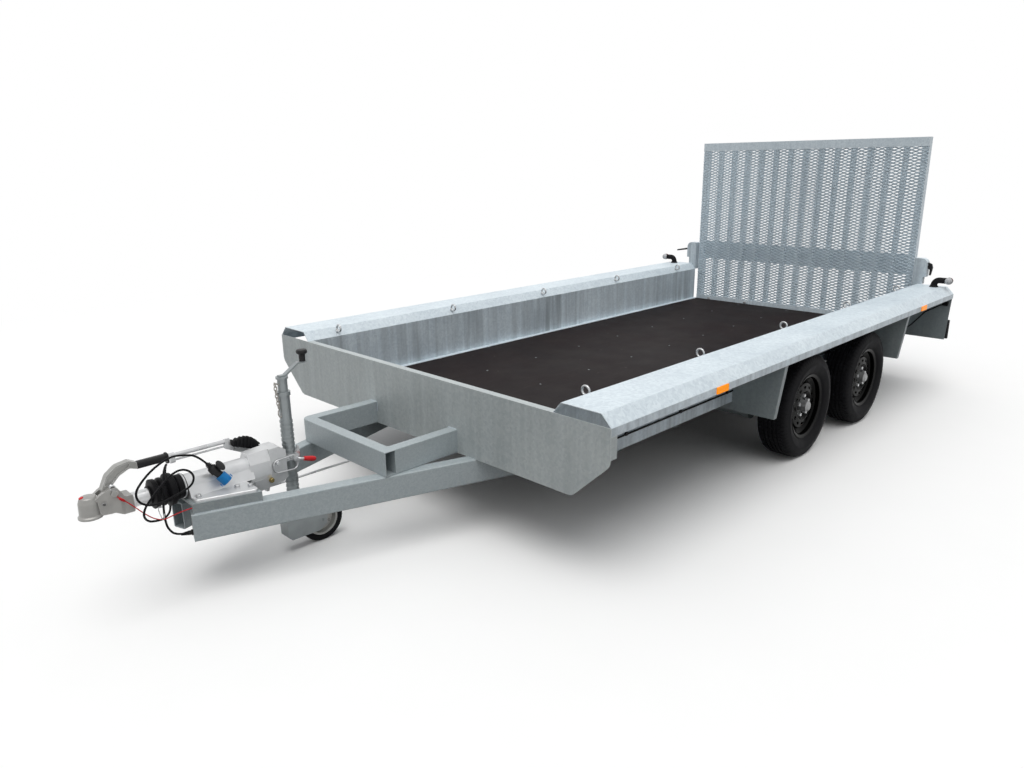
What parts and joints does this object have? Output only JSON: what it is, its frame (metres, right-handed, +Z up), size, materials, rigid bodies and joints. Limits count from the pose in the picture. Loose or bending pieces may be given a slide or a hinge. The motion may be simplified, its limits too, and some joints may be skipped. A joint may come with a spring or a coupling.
{
  "type": "tandem-axle machinery trailer with rear loading ramp",
  "caption": "Low-bed trailer with folded side rails, two close axles, an upright mesh loading ramp at the rear, a V drawbar with an overrun coupling and a winding jockey wheel.",
  "frame": {"origin": "on the floor, below the middle of the trailer's length and width", "axes": "+X the towing direction, +Y the left side, +Z up"},
  "size_m": [5.421, 2.378, 1.72],
  "materials": {
    "galvanised": "hot-dip galvanised sheet with a fine spangle",
    "bare_steel": "bright zinc plating",
    "cast": "painted casting",
    "black_paint": "satin black paint",
    "deck": "dark phenolic film on plywood",
    "tyre": "road tyre rubber",
    "rubber": "matt black rubber",
    "cable": "black cable sheath",
    "black_plastic": "black moulded plastic",
    "blue_plastic": "bright blue moulded plastic",
    "lens": "red lamp lens",
    "amber": "amber reflector"
  },
  "bodies": {
    "trailer": {"axle_front": "galvanised", "axle_rear": "galvanised", "bellows": "rubber", "brake_rod": "bare_steel", "breakaway_cable": "cable", "bucket_rest": "galvanised", "cable_gland": "black_plastic", "chassis_beams": "galvanised", "coupling_grip": "black_plastic", "coupling_head": "bare_steel", "coupling_lever": "bare_steel", "coupling_mount": "galvanised", "crossmembers": "galvanised", "deck_edging": "galvanised", "deck_panel": "deck", "draw_shaft": "bare_steel", "drawbar_left": "galvanised", "drawbar_right": "galvanised", "headboard": "galvanised", "jockey_clamp": "galvanised", "jockey_crank": "bare_steel", "jockey_tube": "galvanised", "lamp_leads": "cable", "latch_levers": "black_plastic", "latch_posts": "galvanised", "marker_lenses": "lens", "marker_stalks": "rubber", "overrun_housing": "cast", "parking_brake_boot": "rubber", "parking_brake_lever": "bare_steel", "plug_body": "black_plastic", "plug_collar": "blue_plastic", "rear_panel": "galvanised", "side_markers": "amber", "side_wall_left": "galvanised", "side_wall_right": "galvanised", "splash_plates": "galvanised", "tail_lamps": "lens", "tie_rings_left": "galvanised", "tie_rings_right": "galvanised", "trailer_cable": "cable"},
    "wheel_front_left": {"tyre_front_left": "tyre", "rim_front_left": "black_paint", "hub_front_left": "cast"},
    "wheel_front_right": {"tyre_front_right": "tyre", "rim_front_right": "black_paint", "hub_front_right": "cast"},
    "wheel_rear_left": {"tyre_rear_left": "tyre", "rim_rear_left": "black_paint", "hub_rear_left": "cast"},
    "wheel_rear_right": {"tyre_rear_right": "tyre", "rim_rear_right": "black_paint", "hub_rear_right": "cast"},
    "ramp": {"ramp_frame": "galvanised", "ramp_mesh": "galvanised"},
    "jockey_leg": {"jockey_leg": "galvanised"},
    "jockey_fork": {"jockey_fork": "galvanised"},
    "jockey_wheel": {"jockey_rim": "galvanised", "jockey_tyre": "rubber"}
  },
  "joints": [
    {"name": "spin_front_left", "type": "hinge", "parent": "trailer", "child": "wheel_front_left", "pos_m": [-0.587, 1.02, 0.2875], "axis": [0, 1, 0], "continuous": true},
    {"name": "spin_front_right", "type": "hinge", "parent": "trailer", "child": "wheel_front_right", "pos_m": [-0.587, -1.02, 0.2875], "axis": [0, 1, 0], "continuous": true},
    {"name": "spin_rear_left", "type": "hinge", "parent": "trailer", "child": "wheel_rear_left", "pos_m": [-1.373, 1.02, 0.2875], "axis": [0, 1, 0], "continuous": true},
    {"name": "spin_rear_right", "type": "hinge", "parent": "trailer", "child": "wheel_rear_right", "pos_m": [-1.373, -1.02, 0.2875], "axis": [0, 1, 0], "continuous": true},
    {"name": "ramp_hinge", "type": "hinge", "parent": "trailer", "child": "ramp", "pos_m": [-2.693, 0, 0.335], "axis": [0, -1, 0], "range_deg": [0, 104]},
    {"name": "jockey_slide", "type": "slide", "parent": "trailer", "child": "jockey_leg", "axis": [0, 0, 1], "range_m": [-0.2, 0]},
    {"name": "jockey_swivel", "type": "hinge", "parent": "jockey_leg", "child": "jockey_fork", "pos_m": [1.905, 0, 0.205], "axis": [0, 0, 1], "continuous": true},
    {"name": "jockey_spin", "type": "hinge", "parent": "jockey_fork", "child": "jockey_wheel", "pos_m": [1.791, 0, 0.1], "axis": [0, 1, 0], "continuous": true}
  ]
}
